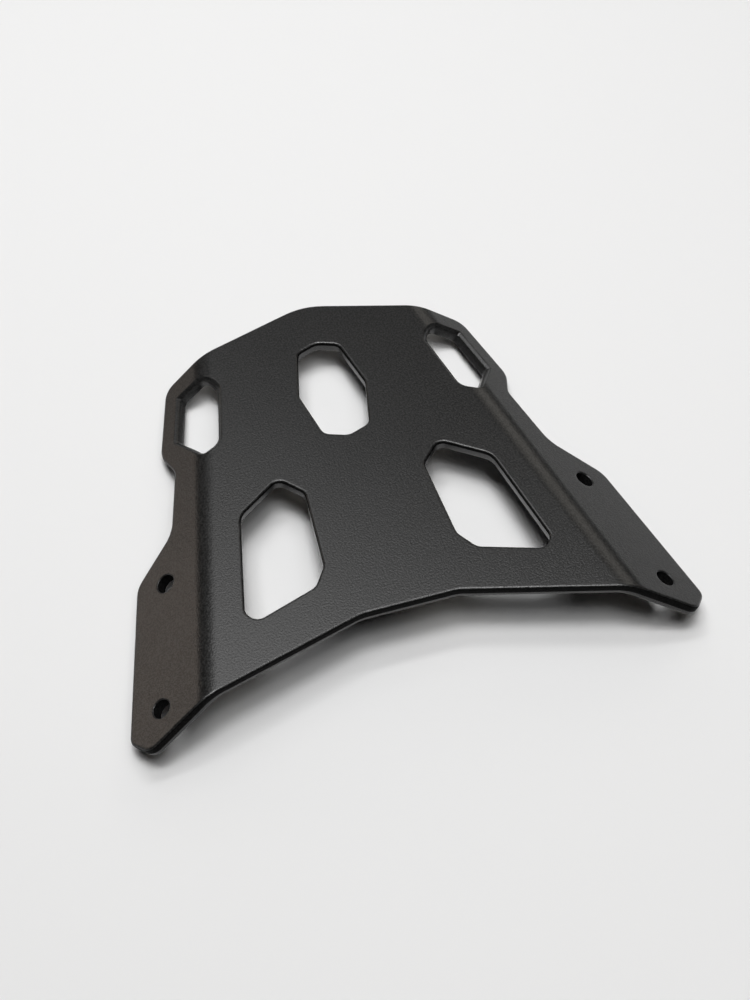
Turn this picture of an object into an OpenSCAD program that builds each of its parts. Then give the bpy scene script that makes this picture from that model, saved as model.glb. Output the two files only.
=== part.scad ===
// Motorcycle luggage rack: one sheet, cut flat and folded down along a slanted line on each side.
// X is across the machine, +Y runs to the narrow end with the strap slots, and Z is up.
// The origin lies on the top face, halfway along the rack.
// Every outline below is drawn on the flat sheet, and the sides are then folded about their fold lines.

/* [Sheet] */
// Thickness of the sheet
sheet_t = 6; // [4:0.5:8]
// Radius on the inside of each fold
bend_r = 6; // [3:0.5:9]
// Angle that each side is folded down
fold_angle = 33; // [25:1:40]

/* [Platform] */
// Length from the front edge to the apex at the narrow end
platform_len = 179.5; // [174:0.5:186]
// Distance between the two fold lines at the front edge
fold_w = 187.3; // [182:0.1:192]
// Lean of each fold line away from straight ahead
fold_skew = 13.4; // [12:0.1:15]
// Width of the straight middle of the front edge
front_flat_w = 45; // [35:1:60]

/* [Ears beside the strap slots] */
// How far the far corner of an ear stands out from the fold line, on the flat sheet
ear_x = 22.75; // [20.75:0.25:25.75]
// Distance from the apex back to that corner
ear_fall = 22.5; // [18:0.5:25]
// Length of the straight outer edge of an ear
ear_len = 38.5; // [34:0.5:42]
// Lean of that edge
ear_skew = 17.9; // [16:0.1:20]
// Length of the edge that runs from the ear in to the waist
ear_return = 14.8; // [12:0.2:17]

/* [Feet with the bolt holes] */
// How far the far corner of a foot stands out from the fold line, on the flat sheet
foot_x = 39.7; // [34.9:0.1:44.9]
// Distance from the front edge to that corner
foot_y = 56.8; // [53:0.1:60]
// Length of the straight outer edge of a foot
foot_len = 79.7; // [76:0.1:84]
// Lean of that edge
foot_skew = 15.6; // [14:0.1:17]
// How far each foot reaches past the front edge
foot_reach = 30; // [27:0.5:34]
// Length of the edge that runs from the waist out to the foot
foot_shoulder = 30; // [26:0.5:33]

/* [Bolt holes] */
// Diameter of each bolt hole, for an M8 bolt
hole_d = 9; // [6.5:0.5:11]
// Distance between the two holes of one side
hole_pitch = 64.1; // [60:0.1:68]
// Distance of the hole nearer the front from the fold line
hole_land = 24.2; // [21:0.1:27]
// Distance of that hole from the front edge, along the fold line
hole_setback = 18.6; // [15:0.1:21]
// Lean of the row of holes against the fold line
hole_lean = 2; // [0:0.5:4]

/* [Middle opening] */
// Length between its two apexes
middle_len = 57.4; // [54:0.2:60]
// Width at its widest
middle_w = 32.8; // [28:0.2:36]
// Distance of its far apex from the apex of the narrow end
middle_y = 25; // [22:0.1:27]

/* [Windows] */
// Length of the outer edge of each window, along the fold
window_len = 52.3; // [48:0.1:55]
// Distance of that edge from the fold line
window_land = 17.5; // [14:0.1:20]
// Distance from the front edge to the nearest corner of each window
window_y = 10.2; // [8:0.1:13]
// Width of the web between the two windows
web_w = 57.8; // [50:0.2:62]

/* [Strap slots] */
// Width of each slot across the fold, at the top of its chamfer
slot_w = 25.7; // [22:0.1:28]
// Length of each slot along the fold, between the corners of its two ends before they are rounded
slot_len = 48.4; // [44:0.2:50]
// How far the far one stays back from the far corner of its ear, along the fold line
slot_y = 4.8; // [1.4:0.1:6.4]
// How far each slot reaches in from the fold line
slot_in = 8.8; // [7:0.1:10]
// Width of the chamfer round the top of each slot
slot_chamfer = 1.5; // [0.5:0.1:2.5]

/* [Corner radii] */
// Apex of the narrow end
apex_r = 35; // [20:1:60]
// Far corner of an ear
ear_r = 10; // [6:0.5:14]
// Waist, on the side of the foot
waist_r = 16; // [10:0.5:20]
// Far corner of a foot
foot_r = 12; // [6:0.5:16]
// Corners at the front end of a foot
toe_r = 6; // [3:0.5:7]
// Ends of the straight middle of the front edge
front_r = 20; // [10:1:40]
// Ordinary corners of the openings
opening_r = 5; // [3:0.5:6]
// Far and near ends of the strap slots, at the top of the chamfer
slot_far_r = 9; // [6:0.5:9.5]
slot_near_r = 4; // [3.7:0.1:6]
// Corners where their inner sides run into the ends
slot_inner_r = 9; // [5:0.5:9.5]
// Corners of their outer sides, under the chamfer
slot_r = 3; // [1:0.5:4]

/* [Hidden] */
arc_angle = 9;
fold_steps = 8;
hole_fn = 96;
spare = 1;
lid = 40;
end_room = 60;
side_room = 80;
big = 300;
overrun = 5;
sheet_colour = [0.16, 0.16, 0.165];

// Front edge and apex, measured from the origin
front_y = (foot_reach - platform_len) / 2;
apex_y = front_y + platform_len;

// Where the right fold line meets the front edge.
// The fold has a frame of its own that starts there, with X out from the line and Y along it
fold_start = [fold_w / 2, front_y];

// Radius of the top face round a fold
outer_r = bend_r + sheet_t;
// How far before its line the fold starts, and its length on the top face
fold_back = outer_r * tan(fold_angle / 2);
fold_run = outer_r * fold_angle * PI / 180;
stations = [for (i = [0 : fold_steps]) fold_run * i / fold_steps - fold_back];

// Corners of one side of the outline, from the apex round to the front edge
ear_return_skew = 21.4;
shoulder_skew = 54.8;
toe_w = 8.9;
ear_near_r = 12;
waist_far_r = 6;
heel_r = 7;
apex = [0, apex_y];
ear_far = outside(ear_x, apex_y - ear_fall);
ear_near = ear_far + leaning(ear_len, ear_skew);
waist_far = ear_near + leaning(ear_return, -ear_return_skew);
foot_far = outside(foot_x, front_y + foot_y);
waist_near = foot_far - leaning(foot_shoulder, shoulder_skew);
foot_tip = foot_far + leaning(foot_len, foot_skew);
foot_heel = [foot_tip.x - toe_w, front_y - foot_reach];
front_knee = [front_flat_w / 2, front_y];

// Corners of the middle opening, each with its radius; the shoulders lie beside its two apexes
shoulder_far = [10.15, 3.6];
shoulder_near = [11.15, 4];
widest_y = 28.3;
middle_r = 7;
middle_far = apex_y - middle_y;
middle_near = middle_far - middle_len;
middle = [
    [[0, middle_far], middle_r],
    [[shoulder_far.x, middle_far - shoulder_far.y], opening_r],
    [[middle_w / 2, middle_near + widest_y], opening_r],
    [[shoulder_near.x, middle_near + shoulder_near.y], opening_r],
    [[0, middle_near], middle_r]
];

// Corners of one window, each with its radius; its outer edge follows the fold line
window_lean = 1;
near_corner = [4.3, 5.6];
near_cut = [6.5, 9.8];
far_cut = [10.2, 10.9];
window_rise = 15;
web_flare = 2.6;
window_r = 7;
window_near = front_y + window_y;
window_start = (window_y + near_corner.y + window_land * sin(fold_skew)) / cos(fold_skew);
window_out = from_fold([-window_land, window_start]);
window_high = window_out + leaning(-window_len, fold_skew - window_lean);
window_top = [web_w / 2 + far_cut.x, window_high.y + window_rise];
web_side = web_w / 2 + web_flare;
window = [
    [window_out - near_corner, opening_r],
    [window_out, opening_r],
    [window_high, 2 * opening_r],
    [window_top, opening_r],
    [window_top - far_cut, opening_r],
    [[web_side, window_near + 2 * near_cut.y], window_r],
    [[web_side + near_cut.x, window_near + near_cut.y], window_r]
];

// Corners of a strap slot at the top of its chamfer: distance out from the fold line, then along it.
// A tip lies at each end, at its own distance from the inner side.
// The corners of the inner and the outer side stay back from the tips by the cuts
slot_near_tip = 9.4;
slot_far_tip = 8.8;
slot_near_cut = [6.2, 14];
slot_far_cut = [6.3, 7.7];
slot_taper = 1.5;
slot_out = slot_w - slot_in;
slot_far = (ear_far.y - front_y) / cos(fold_skew) - slot_y;
slot_near = slot_far - slot_len;
slot_rim = [
    [slot_out, slot_near + slot_near_cut.y],
    [slot_out - slot_taper, slot_far - slot_far_cut.y],
    [slot_far_tip - slot_in, slot_far],
    [-slot_in, slot_far - slot_far_cut.x],
    [-slot_in, slot_near + slot_near_cut.x],
    [slot_near_tip - slot_in, slot_near]
];
slot_radii = [0, 0, slot_far_r, slot_inner_r, slot_inner_r, slot_near_r];

// Bolt holes of one side, measured like the slot
hole_near = [hole_land, -hole_setback];
hole_far = hole_near + hole_pitch * [-sin(hole_lean), cos(hole_lean)];

function unit(v) = v / norm(v);

// A run of the given length towards the front, leaning outward by an angle
function leaning(length, angle) = length * [sin(angle), -cos(angle)];

// The point of the flat sheet at y that lies x outside the right fold line
function outside(x, y) = [fold_w / 2 - (y - front_y) * tan(fold_skew) + x, y];

// Point i of a closed list, counted round
function at(list, i) = list[(i + len(list)) % len(list)];

// Half of the angle at corner b, and the direction that halves it
function half_angle(a, b, c) = acos(unit(a - b) * unit(c - b)) / 2;
function halfway(a, b, c) = unit(unit(a - b) + unit(c - b));

// Points of the arc of radius r that rounds corner b on the way from a to c
function arc(a, b, c, r) =
    let (
        half = half_angle(a, b, c),
        inward = halfway(a, b, c),
        centre = b + inward * r / sin(half),
        facing = atan2(-inward.y, -inward.x),
        sweep = 90 - half,
        turn = cross(a - b, c - b) < 0 ? 1 : -1,
        steps = max(2, ceil(2 * sweep / arc_angle))
    )
    [
        for (i = [0 : steps])
        let (t = facing + turn * sweep * (2 * i / steps - 1))
        centre + r * [cos(t), sin(t)]
    ];

// A closed outline with its corners rounded; each corner is a point and its radius
function rounded(corners) = [
    for (i = [0 : len(corners) - 1])
    each arc(at(corners, i - 1)[0], corners[i][0], at(corners, i + 1)[0], corners[i][1])
];

// One side's corners followed by their mirror images; a corner on the middle line is used once
function both_sides(corners) = concat(
    corners,
    [
        for (i = [len(corners) - 1 : -1 : 0])
        let (p = corners[i][0])
        if (p.x > 0) [[-p.x, p.y], corners[i][1]]
    ]
);

// A convex outline drawn in by d on every edge
function drawn_in(points, d) = [
    for (i = [0 : len(points) - 1])
    let (a = at(points, i - 1), b = points[i], c = at(points, i + 1))
    b + halfway(a, b, c) * d / sin(half_angle(a, b, c))
];

// The outline of a strap slot drawn in by d, with its two outer corners rounded by r
function slot_outline(d, r = 0) =
    let (corners = drawn_in(slot_rim, d))
    [
        for (i = [0 : len(corners) - 1])
        let (radius = slot_radii[i] == 0 ? r : slot_radii[i] - d)
        each radius > 0 ? arc(at(corners, i - 1), corners[i], at(corners, i + 1), radius) : [corners[i]]
    ];

// A point turned counter-clockwise about the origin
function turned(p, angle) = [p.x * cos(angle) - p.y * sin(angle), p.x * sin(angle) + p.y * cos(angle)];

// From the part's frame to that of the right fold, and back
function to_fold(p) = turned(p - fold_start, -fold_skew);
function from_fold(p) = fold_start + turned(p, fold_skew);

// Where a point of the flat sheet at height z above its top face lies after folding
function folded(p, z) =
    let (
        angle = fold_angle * min(1, max(0, p.x + fold_back) / fold_run),
        before = min(p.x, -fold_back),
        after = max(0, p.x + fold_back - fold_run)
    )
    [
        before + (outer_r + z) * sin(angle) + after * cos(angle),
        p.y,
        (outer_r + z) * cos(angle) - outer_r - after * sin(angle)
    ];

// Shares of the way from a to b at which the line crosses the middles of the steps
function crossings(a, b) = [
    0,
    for (i = [0 : fold_steps + 1])
    let (
        step = a.x < b.x ? i : fold_steps + 1 - i,
        share = (fold_run * (step - 0.5) / fold_steps - fold_back - a.x) / (b.x - a.x)
    )
    if (share > 0.01 && share < 0.99) share
];

// The middle of a list of points
function mean(points) = [for (k = [0, 1]) [for (p = points) p[k]] * [for (p = points) 1] / len(points)];

// A point past a on the line from b to a
function past(a, b) = a + overrun * unit(a - b);

// The edge of the sheet round the inner corners of a list, carried on a little past both ends
function edge(corners) =
    let (
        line = [
            for (i = [1 : len(corners) - 2])
            each arc(corners[i - 1][0], corners[i][0], corners[i + 1][0], corners[i][1])
        ],
        n = len(line)
    )
    concat([past(line[0], line[1])], line, [past(line[n - 1], line[n - 2])]);

// Moves the children from the frame of the right fold to the part's frame
module fold_frame() {
    translate(fold_start) rotate([0, 0, fold_skew]) children();
}

// Folds the children, drawn on the flat sheet beyond the fold, down with the side
module on_side() {
    translate([-fold_back, 0, -outer_r])
        rotate([0, fold_angle, 0])
            translate([fold_back - fold_run, 0, outer_r])
                children();
}

// A solid carried round the fold.
// Each ring is a convex outline on the flat sheet, and its height above the top face
module folded_prism(rings) {
    last = len(rings) - 1;
    guide = rings[last][0];
    cuts = [
        for (i = [0 : len(guide) - 1])
        for (share = crossings(guide[i], at(guide, i + 1))) [i, share]
    ];
    n = len(cuts);
    points = concat(
        [
            for (ring = rings) for (c = cuts)
            folded(ring[0][c[0]] * (1 - c[1]) + at(ring[0], c[0] + 1) * c[1], ring[1])
        ],
        [folded(mean(rings[0][0]), rings[0][1]), folded(mean(guide), rings[last][1])]
    );
    under = (last + 1) * n;
    polyhedron(points, [
        for (i = [0 : n - 1]) let (j = (i + 1) % n) each concat(
            [[under, i, j], [under + 1, last * n + j, last * n + i]],
            [for (k = [0 : last - 1]) [k * n + i, (k + 1) * n + i, (k + 1) * n + j]],
            [for (k = [0 : last - 1]) [k * n + i, (k + 1) * n + j, k * n + j]]
        )
    ]);
}

// Everything over, in and under the sheet inside a convex outline
module folded_cut(outline) {
    heights = [-sheet_t - bend_r / 2, -sheet_t - spare / 2, spare / 2, lid];
    folded_prism([for (z = heights) [outline, z]]);
}

// The sheet round the right fold, longer and wider than the rack
module bent_strip() {
    across = concat([-big], stations, [side_room]);
    top = [for (x = across) folded([x, 0], 0)];
    bottom = [for (i = [len(across) - 1 : -1 : 0]) folded([across[i], 0], -sheet_t)];
    translate([0, platform_len + end_room, 0])
        rotate([90, 0, 0])
            linear_extrude(height = platform_len + 2 * end_room)
                polygon([for (p = concat(top, bottom)) [p.x, p.z]]);
}

// Cuts the front edge and, past its knee, the near edge of the foot
module front_cut() {
    knee_to_heel = unit(foot_heel - front_knee);
    start = foot_heel + end_room * knee_to_heel;
    end = [-end_room, front_y];
    line = concat([start], arc(start, front_knee, end, front_r), [end]);
    far = [[end.x, front_y - 2 * end_room], [start.x, front_y - 2 * end_room]];
    folded_cut([for (p = concat(line, far)) to_fold(p)]);
}

// Cuts the straight edge from the apex to the ear
module far_cut_off() {
    apex_to_ear = unit(ear_far - apex);
    start = apex - end_room * apex_to_ear;
    end = ear_far + end_room * apex_to_ear;
    far = [[end.x, apex_y + 2 * end_room], [start.x, apex_y + 2 * end_room]];
    folded_cut([for (p = concat([start, end], far)) to_fold(p)]);
}

// Cuts the outline of the folded side, from the ear over the waist to the foot
module side_cut() {
    line = edge([
        [apex, 0], [ear_far, ear_r], [ear_near, ear_near_r],
        [waist_far, waist_far_r], [waist_near, waist_r],
        [foot_far, foot_r], [foot_tip, toe_r], [foot_heel, heel_r], [front_knee, 0]
    ]);
    first = line[0];
    final = line[len(line) - 1];
    far = [[final.x, -big], [big, -big], [big, big], [first.x, big]];
    on_side()
        translate([0, 0, -sheet_t - spare])
            linear_extrude(height = sheet_t + 2 * spare)
                polygon([for (p = concat(line, far)) to_fold(p)]);
}

// Rounds the apex
module apex_cut() {
    line = edge([[[-ear_far.x, ear_far.y], 0], [apex, apex_r], [ear_far, 0]]);
    final = line[len(line) - 1];
    through() polygon(concat(line, [[final.x, big], [-final.x, big]]));
}

// A strap slot: its rounded opening, and the chamfer that widens it at the top
module strap_slot() {
    folded_cut(slot_outline(slot_chamfer, slot_r));
    folded_prism([
        [slot_outline(slot_chamfer + spare), -slot_chamfer - spare],
        [slot_outline(-spare), spare],
        [slot_outline(-spare), lid]
    ]);
}

module bolt_hole() {
    translate([0, 0, -sheet_t - spare])
        cylinder(d = hole_d, h = sheet_t + 2 * spare, $fn = hole_fn);
}

// The children's outline, cut straight down through the platform
module through() {
    translate([0, 0, -sheet_t - spare])
        linear_extrude(height = sheet_t + 2 * spare)
            children();
}

// The right half of the sheet, folded, with its strap slot and bolt holes
module half() {
    difference() {
        fold_frame()
            difference() {
                bent_strip();
                front_cut();
                far_cut_off();
                side_cut();
                strap_slot();
                on_side() for (hole = [hole_near, hole_far]) translate(hole) bolt_hole();
            }
        translate([-2 * big, -big, -big]) cube(2 * big);
    }
}

module rack_plate() {
    color(sheet_colour)
        difference() {
            union() {
                half();
                mirror([1, 0, 0]) half();
            }
            apex_cut();
            through() polygon(rounded(both_sides(middle)));
            for (side = [0, 1]) mirror([side, 0, 0]) through() polygon(rounded(window));
        }
}

rack_plate();
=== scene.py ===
import math

import bmesh
import bpy
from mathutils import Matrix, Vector


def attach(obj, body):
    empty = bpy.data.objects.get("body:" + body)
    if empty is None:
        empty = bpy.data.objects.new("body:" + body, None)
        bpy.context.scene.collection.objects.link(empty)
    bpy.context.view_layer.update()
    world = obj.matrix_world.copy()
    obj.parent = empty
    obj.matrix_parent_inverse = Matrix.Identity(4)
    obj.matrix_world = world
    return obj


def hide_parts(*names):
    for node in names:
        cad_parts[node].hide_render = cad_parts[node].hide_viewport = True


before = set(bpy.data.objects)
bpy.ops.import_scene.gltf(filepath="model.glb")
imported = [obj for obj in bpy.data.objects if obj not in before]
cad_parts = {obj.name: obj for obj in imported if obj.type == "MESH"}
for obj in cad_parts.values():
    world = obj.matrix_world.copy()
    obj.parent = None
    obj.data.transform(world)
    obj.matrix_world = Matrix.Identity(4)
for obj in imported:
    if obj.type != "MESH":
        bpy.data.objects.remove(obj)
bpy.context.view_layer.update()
print("frame loaded:", sorted(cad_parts))

mm = 0.001
mergeGap = 1e-6  # metres; points nearer than this are one
cutGap = 1e-7
levelGap = 1e-8

# the photograph looks from the front left, well above the rack
cameraLook = {
    "place": (-0.15428, -0.53454, 0.77679),
    "elevation": 55.2,  # degrees below the horizon
    "azimuth": 16.7,  # degrees to the right of +Y
    "lens": 74.0,
    "sensor": 36.0,
    "clip": (0.01, 50),
}


def makeCamera():
    bpy.ops.object.camera_add(location=cameraLook["place"])
    cam = bpy.context.active_object
    cam.name = "photoCamera"
    cam.rotation_euler = (math.radians(90 - cameraLook["elevation"]), 0, math.radians(-cameraLook["azimuth"]))
    cam.data.sensor_width = cameraLook["sensor"]
    cam.data.lens = cameraLook["lens"]
    cam.data.clip_start, cam.data.clip_end = cameraLook["clip"]
    bpy.context.scene.camera = cam


def deselectAll():
    if bpy.context.object and bpy.context.object.mode != "OBJECT":
        bpy.ops.object.mode_set(mode="OBJECT")
    bpy.ops.object.select_all(action="DESELECT")


# a value goes to the node's own setting of that name, or else to its socket
def addNode(tree, kind, place, **values):
    node = tree.nodes.new(kind)
    node.location = place
    for key, value in values.items():
        if hasattr(node, key):
            setattr(node, key, value)
        else:
            node.inputs[key.replace("_", " ")].default_value = value
    return node


def newMaterial(name):
    mat = bpy.data.materials.new(name)
    mat.use_nodes = True
    mat.node_tree.nodes.clear()
    return mat


# grain of the baked powder, as one group for every coated material
grainLook = {
    "fineDetail": 1.0,
    "cloudDetail": 2.0,
    "noiseRoughness": 0.5,
    "speckFrom": 0.36,
    "speckTo": 0.64,
}


def makeCoatGrain():
    group = bpy.data.node_groups.new("coatGrain", "ShaderNodeTree")
    for name, kind in (("Vector", "Vector"), ("Grain Scale", "Float"), ("Cloud Scale", "Float")):
        group.interface.new_socket(name, in_out="INPUT", socket_type="NodeSocket" + kind)
    for name in ("Speck", "Cloud", "Height"):
        group.interface.new_socket(name, in_out="OUTPUT", socket_type="NodeSocketFloat")
    entry = addNode(group, "NodeGroupInput", (-900, 0))
    result = addNode(group, "NodeGroupOutput", (500, 0))
    fine = addNode(
        group, "ShaderNodeTexNoise", (-500, 200),
        Detail=grainLook["fineDetail"], Roughness=grainLook["noiseRoughness"],
    )
    cloud = addNode(
        group, "ShaderNodeTexNoise", (-500, -300),
        Detail=grainLook["cloudDetail"], Roughness=grainLook["noiseRoughness"],
    )
    for tex in (fine, cloud):
        group.links.new(entry.outputs["Vector"], tex.inputs["Vector"])
    group.links.new(entry.outputs["Grain Scale"], fine.inputs["Scale"])
    group.links.new(entry.outputs["Cloud Scale"], cloud.inputs["Scale"])
    speck = addNode(
        group, "ShaderNodeMapRange", (-150, 200), interpolation_type="SMOOTHSTEP",
        From_Min=grainLook["speckFrom"], From_Max=grainLook["speckTo"],
    )
    group.links.new(fine.outputs["Fac"], speck.inputs["Value"])
    group.links.new(speck.outputs["Result"], result.inputs["Speck"])
    group.links.new(cloud.outputs["Fac"], result.inputs["Cloud"])
    group.links.new(fine.outputs["Fac"], result.inputs["Height"])
    return group


# the coat on both faces; the colours are those between and on the specks
coatLook = {
    "dark": (0.0040, 0.0040, 0.0039, 1),
    "light": (0.0190, 0.0188, 0.0186, 1),
    "roughLow": 0.26,
    "roughHigh": 0.31,
    "grainScale": 1150.0,
    "cloudScale": 14.0,
    "bumpStrength": 1.0,
    "bumpDistance": 0.00008,  # metres
    "gloss": 0.5,
}

# painted shade: a darker coat that takes no shine, put on bands of the cut edge and in the holes so that
# these walls look dark
shadeBandLook = {
    "dark": (0.0025, 0.0025, 0.0025, 1),
    "light": (0.0070, 0.0069, 0.0068, 1),
    "roughLow": 0.55,
    "roughHigh": 0.65,
    "grainScale": 1150.0,
    "cloudScale": 14.0,
    "bumpStrength": 1.0,
    "bumpDistance": 0.00008,
    "gloss": 0.03,
}


def makeCoat(name, values, grain):
    mat = newMaterial(name)
    tree = mat.node_tree
    out = addNode(tree, "ShaderNodeOutputMaterial", (900, 0))
    coat = addNode(tree, "ShaderNodeBsdfPrincipled", (600, 0), Specular_IOR_Level=values["gloss"])
    coords = addNode(tree, "ShaderNodeTexCoord", (-700, 0))
    look = addNode(
        tree, "ShaderNodeGroup", (-400, 0), node_tree=grain,
        Grain_Scale=values["grainScale"], Cloud_Scale=values["cloudScale"],
    )
    tree.links.new(coords.outputs["Object"], look.inputs["Vector"])
    # the colours of this node are its sockets 6 and 7, and 2 coming out
    colour = addNode(tree, "ShaderNodeMix", (0, 200), data_type="RGBA")
    colour.inputs[6].default_value = values["dark"]
    colour.inputs[7].default_value = values["light"]
    tree.links.new(look.outputs["Speck"], colour.inputs[0])
    rough = addNode(tree, "ShaderNodeMapRange", (0, 0), To_Min=values["roughLow"], To_Max=values["roughHigh"])
    tree.links.new(look.outputs["Cloud"], rough.inputs["Value"])
    bump = addNode(
        tree, "ShaderNodeBump", (0, -250), Strength=values["bumpStrength"], Distance=values["bumpDistance"]
    )
    tree.links.new(look.outputs["Height"], bump.inputs["Height"])
    tree.links.new(colour.outputs[2], coat.inputs["Base Color"])
    tree.links.new(rough.outputs["Result"], coat.inputs["Roughness"])
    tree.links.new(bump.outputs["Normal"], coat.inputs["Normal"])
    tree.links.new(coat.outputs["BSDF"], out.inputs["Surface"])
    return mat


# the rack as it is cut flat, in mm: corners with their radii, the right side only
rackSheet = {
    "thickness": 6.0,
    "edgeBreak": 1.1,
    "edgeSteps": 5,
    "arcStep": 6,  # degrees
    "outline": [
        ((0, 104.75), 35), ((79.00, 82.25), 10), ((90.83, 45.61), 12), ((85.43, 31.83), 6),
        ((95.30, -0.66), 16), ((119.82, -17.95), 12), ((141.25, -94.71), 6), ((132.35, -104.75), 7),
        ((22.50, -74.75), 20),
    ],
    "middle": [
        ((0, 79.75), 7), ((10.15, 76.15), 5), ((16.40, 50.65), 5), ((11.15, 26.35), 5), ((0, 22.35), 7),
    ],
    "window": [
        ((67.60, -64.55), 5), ((71.90, -58.95), 5), ((60.67, -7.87), 10), ((39.10, 7.13), 5),
        ((28.90, -3.77), 5), ((31.50, -44.95), 7), ((38.00, -54.75), 7),
    ],
    "slot": [  # at the top of its chamfer, where the two outer corners are sharp
        ((81.77, 48.03), 0), ((74.12, 73.66), 0), ((57.36, 77.58), 9),
        ((50.26, 69.41), 9), ((58.58, 34.49), 9), ((69.16, 30.64), 4),
    ],
    "slotArcStep": 10,  # degrees
    "slotRadius": 3,
    "slotChamfer": 1.5,
    "chamferBreak": 0.2,
    "holes": [(121.50, -87.24), (104.48, -25.44)],
    "holeRadius": 4.5,
    "holeFlats": 64,
    "holeBreak": 0.5,
    "holeSteps": 3,
    "holdGap": 0.4,  # a flat ring beside each broken edge keeps the faces flat in the shading
    "smoothAngle": 28,  # degrees
    "shadeFrom": 0.55,  # the outer wall gets painted shade, the darker shineless coat, between these two depths
    "shadeTo": 3.6,
    "shadeToInside": 1.7,  # and the walls of the window and middle openings down to this one
}

# the fold: where its line starts, how it leans, and how far the side goes down
rackFold = {
    "start": (93.65, -74.75),  # mm
    "lean": 13.4,  # degrees
    "angle": 33,  # degrees
    "radius": 20,  # on the top face
    "steps": 26,
}


def unit(v):
    return v / v.length


# points round the corner at b, no more than a step of degrees apart
def roundCorner(a, b, c, radius, step):
    towardA, towardC = unit(a - b), unit(c - b)
    half = towardA.angle(towardC) / 2
    inward = unit(towardA + towardC)
    centre = b + inward * radius / math.sin(half)
    sweep = math.pi / 2 - half
    facing = math.atan2(-inward.y, -inward.x)
    turn = 1 if (a - b).cross(c - b) < 0 else -1
    n = 2 * max(1, math.ceil(sweep / math.radians(step)))
    angles = [facing + turn * sweep * (2 * i / n - 1) for i in range(n + 1)]
    return [centre + radius * Vector((math.cos(t), math.sin(t))) for t in angles]


def roundLoop(corners, step):
    points = []
    for i, (b, radius) in enumerate(corners):
        a, c = corners[i - 1][0], corners[(i + 1) % len(corners)][0]
        points += roundCorner(Vector(a), Vector(b), Vector(c), radius, step)
    return points


def bothSides(corners):
    return corners + [((-x, y), r) for (x, y), r in reversed(corners) if x > 0]


def mirrored(points):
    return [Vector((-p[0], p[1])) for p in reversed(points)]


# a closed line moved square to itself, towards the material for a positive distance
def movedLine(points, distance, hole=True):
    area = sum(points[i - 1].cross(p) for i, p in enumerate(points))
    side = -1 if (area > 0) == hole else 1
    moved = []
    for i, b in enumerate(points):
        before, after = unit(b - points[i - 1]), unit(points[(i + 1) % len(points)] - b)
        along = unit(before + after)
        moved.append(b + Vector((-along.y, along.x)) * side * distance / math.cos(before.angle(after) / 2))
    return moved


def atHeight(points, z):
    return [Vector((p.x, p.y, z)) for p in points]


# rings from the flat top face, round a quarter of a circle, to the wall
def topRings(points, radius, steps, hole=True):
    rings = [atHeight(movedLine(points, radius + rackSheet["holdGap"], hole), 0)]
    for k in range(steps + 1):
        t = math.pi / 2 * k / steps
        ring = movedLine(points, radius * (1 - math.sin(t)), hole)
        rings.append(atHeight(ring, radius * (math.cos(t) - 1)))
    return rings


def bottomRings(points, radius, steps, hole=True):
    rings = topRings(points, radius, steps, hole)
    return [[Vector((p.x, p.y, -rackSheet["thickness"] - p.z)) for p in ring] for ring in reversed(rings)]


def editMesh():
    return bmesh.from_edit_mesh(bpy.context.object.data)


# a closed wall, each ring extruded from the one before
def addWall(rings):
    bpy.ops.mesh.select_all(action="DESELECT")
    bpy.ops.mesh.primitive_circle_add(vertices=len(rings[0]), radius=mm)
    for k, ring in enumerate(rings):
        if k:
            bpy.ops.mesh.extrude_region_move()
        for v, p in zip([v for v in editMesh().verts if v.select], ring):
            v.co = p * mm
        bmesh.update_edit_mesh(bpy.context.object.data)


# of the faces made after the first ones, those between two depths take the second material, the painted shade
# coat
def paintShadeBand(known, shallow, deep):
    mesh = editMesh()
    mesh.faces.ensure_lookup_table()
    for f in mesh.faces[known:]:
        if -deep * mm < f.calc_center_median().z < -shallow * mm:
            f.material_index = 1
    bmesh.update_edit_mesh(bpy.context.object.data)


# the flat face at one height, between all the walls that end there
def fillLevel(z):
    bpy.ops.mesh.select_all(action="DESELECT")
    mesh = editMesh()
    for e in mesh.edges:
        if e.is_boundary and all(abs(v.co.z - z * mm) < levelGap for v in e.verts):
            e.select_set(True)
    bmesh.update_edit_mesh(bpy.context.object.data)
    bpy.ops.mesh.fill(use_beauty=True)


# the distance of a point from the line through a and b
def lineGap(p, a, b):
    return abs((b - a).cross(p - a)) / (b - a).length


# a ring on a slot's chamfer, drawn in from its rim; the outer corners get the given radius
def slotRing(corners, inset, radius=0, drop=0):
    rim = [Vector(p) for p, r in corners]
    drawnIn = movedLine(rim, -inset)
    ring = []
    for i, (p, r) in enumerate(corners):
        after = (i + 1) % len(corners)
        bend = r - inset if r else radius
        for q in roundCorner(drawnIn[i - 1], drawnIn[i], drawnIn[after], bend, rackSheet["slotArcStep"]):
            depth = inset if r else min(lineGap(q, rim[i - 1], rim[i]), lineGap(q, rim[i], rim[after]))
            ring.append(Vector((q.x, q.y, -depth - drop)))
    return ring


# a strap slot: its chamfer has two sharp corners, and the wall below has none
def addSlot(corners):
    small, wide, radius = rackSheet["chamferBreak"], rackSheet["slotChamfer"], rackSheet["slotRadius"]
    eighth = math.radians(22.5)  # half of the chamfer's turn
    bend = small / math.tan(eighth)
    slope = small * math.sqrt(0.5)
    rings = [atHeight(slotRing(corners, -out), z) for out, z in (
        (small + rackSheet["holdGap"], 0),
        (small, 0),
        (small - bend * math.sin(eighth), bend * (math.cos(eighth) - 1)),
    )]
    rings.append(slotRing(corners, slope))
    rings.append(slotRing(corners, wide - slope, radius + slope))
    rings.append(slotRing(corners, wide, radius, small))
    wall = [p.xy for p in rings[-1]]
    addWall(rings + bottomRings(wall, rackSheet["holeBreak"], rackSheet["holeSteps"]))


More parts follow.
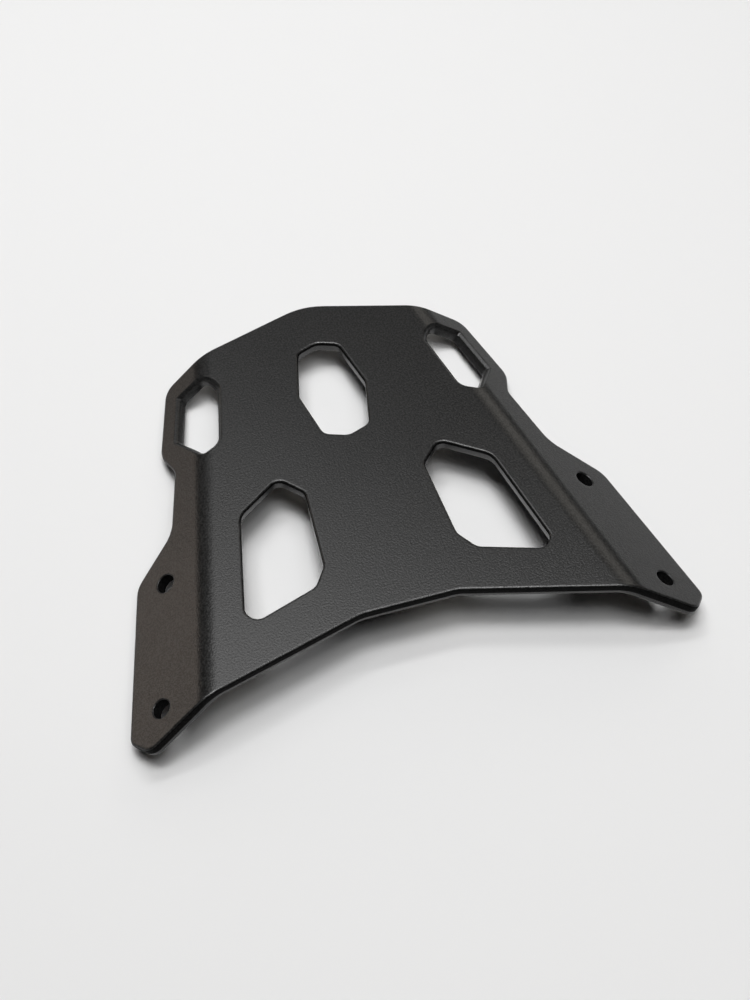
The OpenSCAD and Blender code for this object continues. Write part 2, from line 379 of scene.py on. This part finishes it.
# cuts across the sheet, a step apart round each fold, and one a little before and after it
def cutFolds():
    lean, full = math.radians(rackFold["lean"]), math.radians(rackFold["angle"])
    back, run = rackFold["radius"] * math.tan(full / 2), rackFold["radius"] * full
    stations = [run * k / rackFold["steps"] - back for k in range(rackFold["steps"] + 1)]
    gap = rackSheet["holdGap"]
    for side in (1, -1):
        for t in [stations[0] - gap] + stations + [stations[-1] + gap]:
            x = rackFold["start"][0] + t * math.cos(lean)
            y = rackFold["start"][1] + t * math.sin(lean)
            bpy.ops.mesh.select_all(action="SELECT")
            bpy.ops.mesh.bisect(
                plane_co=(side * x * mm, y * mm, 0),
                plane_no=(side * math.cos(lean), math.sin(lean), 0),
                threshold=cutGap,
            )


# where a point of the flat sheet comes to lie once the sides are folded down
def foldedPlace(co):
    lean, full, radius = math.radians(rackFold["lean"]), math.radians(rackFold["angle"]), rackFold["radius"]
    back, run = radius * math.tan(full / 2), radius * full
    side = -1 if co.x < 0 else 1
    x, y, z = side * co.x / mm - rackFold["start"][0], co.y / mm - rackFold["start"][1], co.z / mm
    t, s = x * math.cos(lean) + y * math.sin(lean), y * math.cos(lean) - x * math.sin(lean)
    turned = full * min(1, max(0, t + back) / run)
    after = max(0, t + back - run)
    t = min(t, -back) + (radius + z) * math.sin(turned) + after * math.cos(turned)
    z = (radius + z) * math.cos(turned) - radius - after * math.sin(turned)
    x, y = t * math.cos(lean) - s * math.sin(lean), t * math.sin(lean) + s * math.cos(lean)
    return Vector((side * (x + rackFold["start"][0]), y + rackFold["start"][1], z)) * mm


def makeRackSheet(coat, shadeBandCoat):
    deselectAll()
    bpy.ops.object.add(type="MESH")
    sheet = bpy.context.active_object
    sheet.name = "rackSheet"
    bpy.ops.object.mode_set(mode="EDIT")
    bpy.ops.mesh.select_mode(type="VERT")
    edge, steps, arc = rackSheet["edgeBreak"], rackSheet["edgeSteps"], rackSheet["arcStep"]
    outline = roundLoop(bothSides(rackSheet["outline"]), arc)
    # painted shade on a band of every wall below its broken rim
    shadeEnd = [atHeight(outline, -rackSheet["shadeTo"])]
    addWall(topRings(outline, edge, steps, False) + shadeEnd + bottomRings(outline, edge, steps, False))
    paintShadeBand(0, rackSheet["shadeFrom"], rackSheet["shadeTo"])
    window = roundLoop(rackSheet["window"], arc)
    for opening in (roundLoop(bothSides(rackSheet["middle"]), arc), window, mirrored(window)):
        known = len(editMesh().faces)
        shadeEnd = [atHeight(opening, -rackSheet["shadeToInside"])]
        addWall(topRings(opening, edge, steps) + shadeEnd + bottomRings(opening, edge, steps))
        paintShadeBand(known, rackSheet["shadeFrom"], rackSheet["shadeToInside"])
    radius, flats = rackSheet["holeRadius"], rackSheet["holeFlats"]
    small, smallSteps = rackSheet["holeBreak"], rackSheet["holeSteps"]
    turns = [2 * math.pi * i / flats for i in range(flats)]
    for x, y in rackSheet["holes"]:
        ring = [Vector((x + radius * math.cos(t), y + radius * math.sin(t))) for t in turns]
        for hole in (ring, mirrored(ring)):
            known = len(editMesh().faces)
            addWall(topRings(hole, small, smallSteps) + bottomRings(hole, small, smallSteps))
            # the hole's wall below its broken rim gets painted shade all the way down
            paintShadeBand(known, small, rackSheet["thickness"])
    addSlot(rackSheet["slot"])
    addSlot([((-x, y), r) for (x, y), r in reversed(rackSheet["slot"])])
    bpy.ops.mesh.select_all(action="SELECT")
    bpy.ops.mesh.remove_doubles(threshold=mergeGap)
    fillLevel(0)
    fillLevel(-rackSheet["thickness"])
    print("flat sheet filled:", len(editMesh().faces), "faces")
    cutFolds()
    for v in editMesh().verts:
        v.co = foldedPlace(v.co)
    bpy.ops.mesh.select_all(action="SELECT")
    bpy.ops.mesh.remove_doubles(threshold=mergeGap)
    bpy.ops.mesh.normals_make_consistent(inside=False)
    bpy.ops.object.mode_set(mode="OBJECT")
    bpy.ops.object.shade_smooth_by_angle(angle=math.radians(rackSheet["smoothAngle"]))
    sheet.data.materials.append(coat)
    sheet.data.materials.append(shadeBandCoat)
    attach(sheet, "root")
    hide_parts("rack_plate")
    return sheet


# the surface under the rack, tilted to the feet and the ears that it stands on, and clear from below
floorLook = {
    "size": 4.0,
    "fadeFrom": 0.5,  # between these two distances, in metres, it fades into the background
    "fadeTo": 1.1,
    "touch": (0.0, -0.0195, -0.0262),
    "tilt": 4.95,  # degrees
    "colour": (0.80, 0.80, 0.80, 1),
    "rough": 0.9,
    "gloss": 0.1,
}


def makeFloor():
    mat = newMaterial("paleFloor")
    tree = mat.node_tree
    out = addNode(tree, "ShaderNodeOutputMaterial", (600, 0))
    top = addNode(
        tree, "ShaderNodeBsdfPrincipled", (0, 0), Base_Color=floorLook["colour"],
        Roughness=floorLook["rough"], Specular_IOR_Level=floorLook["gloss"],
    )
    clear = addNode(tree, "ShaderNodeBsdfTransparent", (0, -400))
    face = addNode(tree, "ShaderNodeNewGeometry", (-300, 500))
    coords = addNode(tree, "ShaderNodeTexCoord", (-700, 300))
    reach = addNode(tree, "ShaderNodeVectorMath", (-500, 300), operation="LENGTH")
    fade = addNode(
        tree, "ShaderNodeMapRange", (-300, 300), interpolation_type="SMOOTHSTEP",
        From_Min=floorLook["fadeFrom"], From_Max=floorLook["fadeTo"],
    )
    seeThrough = addNode(tree, "ShaderNodeMath", (0, 300), operation="MAXIMUM")
    mix = addNode(tree, "ShaderNodeMixShader", (300, 0))
    tree.links.new(coords.outputs["Object"], reach.inputs[0])
    tree.links.new(reach.outputs["Value"], fade.inputs["Value"])
    tree.links.new(fade.outputs["Result"], seeThrough.inputs[0])
    tree.links.new(face.outputs["Backfacing"], seeThrough.inputs[1])
    tree.links.new(seeThrough.outputs["Value"], mix.inputs[0])
    tree.links.new(top.outputs["BSDF"], mix.inputs[1])
    tree.links.new(clear.outputs["BSDF"], mix.inputs[2])
    tree.links.new(mix.outputs["Shader"], out.inputs["Surface"])
    deselectAll()
    bpy.ops.mesh.primitive_plane_add(size=floorLook["size"], location=floorLook["touch"])
    floor = bpy.context.active_object
    floor.name = "floor"
    floor.rotation_euler = (math.radians(floorLook["tilt"]), 0, 0)
    floor.data.materials.append(mat)


# wide suns, in degrees: how far down from overhead, how far round from +Y towards +X, and how wide
sunLooks = {
    "top": {"down": 0, "round": 0, "spread": 15, "strength": 1.12, "colour": (1, 1, 1)},
    "front": {"down": 14, "round": 180, "spread": 15, "strength": 0.36, "colour": (1, 1, 1)},
    "left": {"down": 14, "round": 292, "spread": 15, "strength": 0.50, "colour": (1, 1, 1)},
    "backRight": {"down": 56, "round": 44, "spread": 26, "strength": 0.21, "colour": (1, 0.95, 0.87)},
    "backLow": {"down": 66, "round": 0, "spread": 40, "strength": 0.20, "colour": (1, 1, 1)},
    "leftLow": {"down": 72, "round": 315, "spread": 15, "strength": 0.125, "colour": (1, 0.84, 0.72)},
}

# soft boxes a metre above the rack, which give the platform its sheen
boxLooks = {
    "back": {"place": (-0.10, 0.49, 1.0), "size": (0.48, 0.50), "watts": 1.50},
    "strip": {"place": (0.01, 0.28, 1.0), "size": (0.67, 0.12), "watts": 2.45},
    "right": {"place": (0.20, -0.42, 1.0), "size": (0.50, 0.40), "watts": 1.55},
}


def makeSun(name, look):
    deselectAll()
    bpy.ops.object.light_add(type="SUN")
    lamp = bpy.context.active_object
    lamp.name = name + "Sun"
    lamp.data.angle = math.radians(look["spread"])
    lamp.data.energy = look["strength"]
    lamp.data.color = look["colour"]
    down, around = math.radians(look["down"]), math.radians(look["round"])
    toSun = Vector((math.sin(down) * math.sin(around), math.sin(down) * math.cos(around), math.cos(down)))
    lamp.rotation_euler = toSun.to_track_quat("Z", "Y").to_euler()


def makeSoftBox(name, look):
    deselectAll()
    bpy.ops.object.light_add(type="AREA", location=look["place"])
    lamp = bpy.context.active_object
    lamp.name = name + "Box"
    lamp.data.shape = "RECTANGLE"
    lamp.data.size, lamp.data.size_y = look["size"]
    lamp.data.energy = look["watts"]
    lamp.visible_camera = False


# pale where the camera looks, and in what the coat mirrors up to a little above the horizon, where it fades
worldLook = {
    "colour": (1, 1, 1, 1),
    "pale": 0.84,
    "bandFrom": 0.0,
    "bandTo": 0.06,
}


def makeWorld():
    world = bpy.data.worlds.new("studio")
    world.use_nodes = True
    tree = world.node_tree
    back = tree.nodes["Background"]
    back.inputs["Color"].default_value = worldLook["colour"]
    coords = addNode(tree, "ShaderNodeTexCoord", (-1000, 0))
    parts = addNode(tree, "ShaderNodeSeparateXYZ", (-800, 0))
    band = addNode(
        tree, "ShaderNodeMapRange", (-600, 0), interpolation_type="SMOOTHSTEP",
        From_Min=worldLook["bandFrom"], From_Max=worldLook["bandTo"], To_Min=worldLook["pale"], To_Max=0.0,
    )
    path = addNode(tree, "ShaderNodeLightPath", (-1000, 400))
    mirrors = addNode(tree, "ShaderNodeMath", (-800, 200), operation="ADD", use_clamp=True)
    mirroredBand = addNode(tree, "ShaderNodeMath", (-400, 0), operation="MULTIPLY")
    direct = addNode(tree, "ShaderNodeMath", (-600, 400), operation="MULTIPLY")
    direct.inputs[1].default_value = worldLook["pale"]
    strength = addNode(tree, "ShaderNodeMath", (-200, 200), operation="MAXIMUM")
    tree.links.new(coords.outputs["Generated"], parts.inputs[0])
    tree.links.new(parts.outputs["Z"], band.inputs["Value"])
    tree.links.new(path.outputs["Is Glossy Ray"], mirrors.inputs[0])
    tree.links.new(path.outputs["Is Transmission Ray"], mirrors.inputs[1])
    tree.links.new(mirrors.outputs["Value"], mirroredBand.inputs[0])
    tree.links.new(band.outputs["Result"], mirroredBand.inputs[1])
    tree.links.new(path.outputs["Is Camera Ray"], direct.inputs[0])
    tree.links.new(direct.outputs["Value"], strength.inputs[0])
    tree.links.new(mirroredBand.outputs["Value"], strength.inputs[1])
    tree.links.new(strength.outputs["Value"], back.inputs["Strength"])
    bpy.context.scene.world = world


makeCamera()
bpy.context.scene.view_settings.view_transform = "Standard"
makeWorld()
for lampName, lampLook in sunLooks.items():
    makeSun(lampName, lampLook)
for lampName, lampLook in boxLooks.items():
    makeSoftBox(lampName, lampLook)
print("camera, world and lamps made")

coatGrain = makeCoatGrain()
powderCoat = makeCoat("powderCoat", coatLook, coatGrain)
# the second coat is painted shade for bands of the walls and for the holes
shadeBandCoat = makeCoat("shadeBandCoat", shadeBandLook, coatGrain)
rackPiece = makeRackSheet(powderCoat, shadeBandCoat)
print("sheet made:", len(rackPiece.data.polygons), "faces")

makeFloor()
print("floor made")
